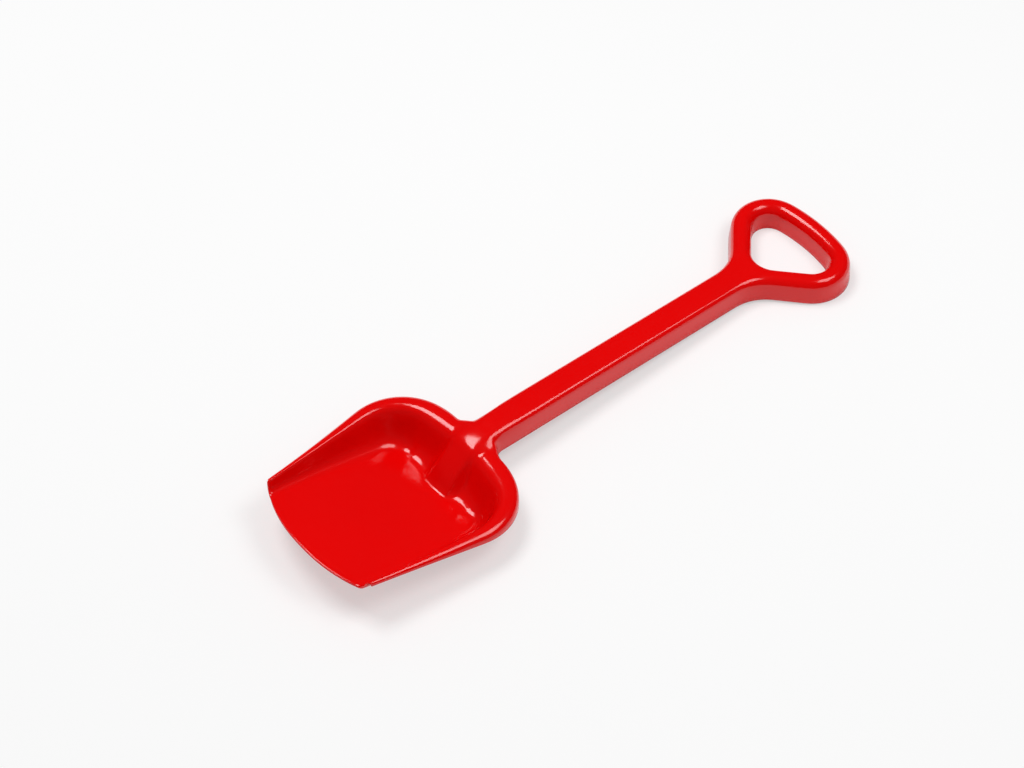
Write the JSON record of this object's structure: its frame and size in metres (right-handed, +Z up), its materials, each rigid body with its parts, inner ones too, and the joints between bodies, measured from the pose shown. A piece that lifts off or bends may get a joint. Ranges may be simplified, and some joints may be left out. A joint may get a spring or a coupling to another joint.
{
  "type": "sand shovel",
  "caption": "Long-handled children's sand shovel moulded in one colour, with a dished blade, a rolled rim, a channel-section shaft and a rounded-triangle hand grip.",
  "frame": {"origin": "centre of the bounding box in plan, on the surface that the shovel lies on", "axes": "X across the blade, +Y from the cutting edge to the hand grip, +Z up, with the hollow of the blade open upwards"},
  "size_m": [0.1512, 0.5041, 0.0391],
  "materials": {
    "moulding": "glossy injection-moulded polypropylene, coloured through"
  },
  "bodies": {
    "root": {"blade_floor": "moulding", "blade_wall": "moulding", "rim": "moulding", "neck": "moulding", "shaft": "moulding", "shaft_ribs": "moulding", "grip": "moulding", "grip_ribs": "moulding"}
  },
  "joints": []
}
